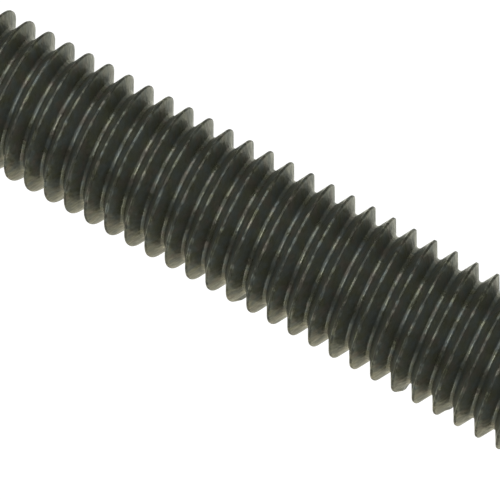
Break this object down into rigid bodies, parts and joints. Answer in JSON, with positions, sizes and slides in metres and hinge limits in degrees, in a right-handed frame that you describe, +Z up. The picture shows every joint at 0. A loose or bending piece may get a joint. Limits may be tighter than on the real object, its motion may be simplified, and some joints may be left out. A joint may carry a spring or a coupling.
{
  "type": "threaded rod",
  "caption": "Straight dark steel rod with a right-hand screw thread over its whole length and chamfered flat ends.",
  "frame": {"origin": "centre of the bottom end face, on the rod's axis", "axes": "+Z up the rod's axis to the other end face; the rod is round, so +X only marks where the thread's turns are counted from"},
  "size_m": [0.0126, 0.0126, 0.1016],
  "materials": {
    "dark_steel": "satin"
  },
  "bodies": {
    "root": {"threaded_rod": "dark_steel"}
  },
  "joints": []
}
